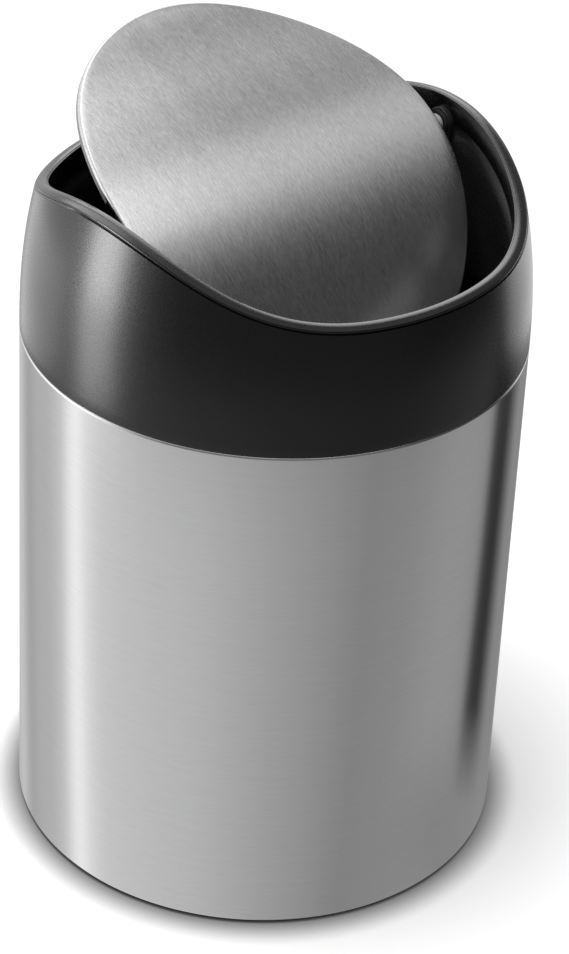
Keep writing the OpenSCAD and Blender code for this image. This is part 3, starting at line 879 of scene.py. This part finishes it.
def strip_light(name, aim_bearing, angle, away, heights, spread, level, lights):
    """An upright strip, away from a point on the collar towards an angle, that only glosses."""
    foot, top = heights
    place = bearing(aim_bearing) * strip_aim_r + bearing(angle) * away
    place.z = (foot + top) / 2
    size = (2 * away * math.tan(math.radians(spread / 2)), top - foot)
    strip = softbox(name, place, place - bearing(angle), size,
                    level * math.pi * size[0] * size[1])
    strip.visible_diffuse = False
    strip.light_linking.receiver_collection = lights


for name, angle, away, heights, spread, level in strips:
    strip_light(name, angle / 2, angle, away, heights, spread, level, black_plastic)
for name, aim_bearing, angle, away, heights, spread, level in lip_strips:
    strip_light(name, aim_bearing, angle, away, heights, spread, level, collar_only)
flap_box = softbox("flap_softbox", flap_box_from, flap_box_from - Vector((0, 0, 1)), flap_box_size,
                   flap_box_level * math.pi * flap_box_size[0] * flap_box_size[1])
flap_box.visible_diffuse = False
flap_box.light_linking.receiver_collection = flap_steel

# Studio room: plain light all round, white to the camera. What steel and gloss mirror is four
# tiers of panels, each a list of angle to the right of the camera and brightness.
table_panels = (
    (-180, 0.56), (-155, 0.64), (-148, 0.54), (-140, 0.42), (-129, 0.53), (-117, 0.55),
    (-106, 0.68), (-98, 1.10), (-94, 1.18), (-88, 0.90), (-79, 0.75), (-67, 0.71), (-47, 0.66),
    (-28, 0.61), (-8, 0.52), (8, 0.45), (27, 0.38), (47, 0.30), (66, 0.32), (90, 0.38),
    (105, 0.38), (115, 0.34), (121, 0.05), (132, 0.02), (138, 0.13), (147, 0.30), (163, 0.26),
    (180, 0.60))
middle_panels = (
    (-180, 0.9), (-149, 0.9), (-127, 1.1), (-112, 1.3), (-98, 1.6), (-80, 1.6), (-68, 0.8),
    (-56, 0.30), (-45, 0.20), (50, 0.18), (70, 0.08), (112, 0.05), (120, 0.35), (130, 0.9),
    (150, 1.0), (165, 0.8), (180, 0.9))
upper_panels = (
    (-180, 1.6), (-160, 1.6), (-150, 1.3), (-130, 1.0), (-98, 1.0), (-60, 0.5), (-40, 0.2),
    (50, 0.10), (65, 0.05), (112, 0.05), (125, 0.30), (160, 0.40), (166, 0.7), (172, 1.4),
    (180, 1.6))
high_panels = (
    (-180, 1.8), (-162, 1.8), (-150, 1.2), (-120, 0.9), (-60, 0.6), (0, 0.7), (80, 0.75),
    (118, 0.75), (132, 0.60), (142, 0.32), (158, 0.30), (166, 0.9), (172, 1.5), (180, 1.8))
brightest = 2.0
room_light = 0.4
world = bpy.data.worlds.new("studio")
bpy.context.scene.world = world
world.cycles.sampling_method = "NONE"
light = Light(world)
direction = light.add("ShaderNodeTexCoord").outputs["Generated"]
faced = light.add("ShaderNodeMapping", (), direction, None, (0, 0, math.pi / 2 + shot_turn))
around = light.add("ShaderNodeTexGradient", {"gradient_type": "RADIAL"}, faced.outputs[0])
height = light.add("ShaderNodeSeparateXYZ", (), direction).outputs["Z"]


def tier(panels):
    """The brightness of one tier in every direction round the can, as a share of brightest."""
    ring = light.add("ShaderNodeValToRGB", (), around.outputs["Fac"])
    stops = ring.color_ramp.elements
    while len(stops) < len(panels):
        stops.new(0.5)
    for stop, (angle, level) in zip(stops, panels):
        stop.position = 0.5 + angle / 360
        stop.color = (level / brightest, level / brightest, level / brightest, 1)
    return ring.outputs[0]


def over(lower, upper, start, end):
    """The lower tier up to one elevation in degrees, and the upper one from another."""
    share = light.add("ShaderNodeMapRange", {"interpolation_type": "SMOOTHSTEP"}, height,
                      math.sin(math.radians(start)), math.sin(math.radians(end))).outputs[0]
    mix = light.add("ShaderNodeMix", {"data_type": "RGBA"})
    for socket, value in ((0, share), (6, lower), (7, upper)):
        light.tree.links.new(value, mix.inputs[socket])
    return mix.outputs[2]


tiers = tier(table_panels)
for upper, start, end in ((middle_panels, -25, -18), (upper_panels, 14, 24),
                          (high_panels, 41, 54)):
    tiers = over(tiers, tier(upper), start, end)
mirrored = light.add("ShaderNodeBackground", (), tiers, brightest).outputs[0]
plain = light.add("ShaderNodeBackground", (), None, room_light).outputs[0]
white = light.add("ShaderNodeBackground", (), (1, 1, 1, 1), 1.0).outputs[0]
path = light.add("ShaderNodeLightPath")
lit = light.choose(path.outputs["Is Glossy Ray"], plain, mirrored)
lit = light.choose(path.outputs["Is Camera Ray"], lit, white)
light.add("ShaderNodeOutputWorld", (), lit)
bpy.context.scene.view_settings.view_transform = "Standard"
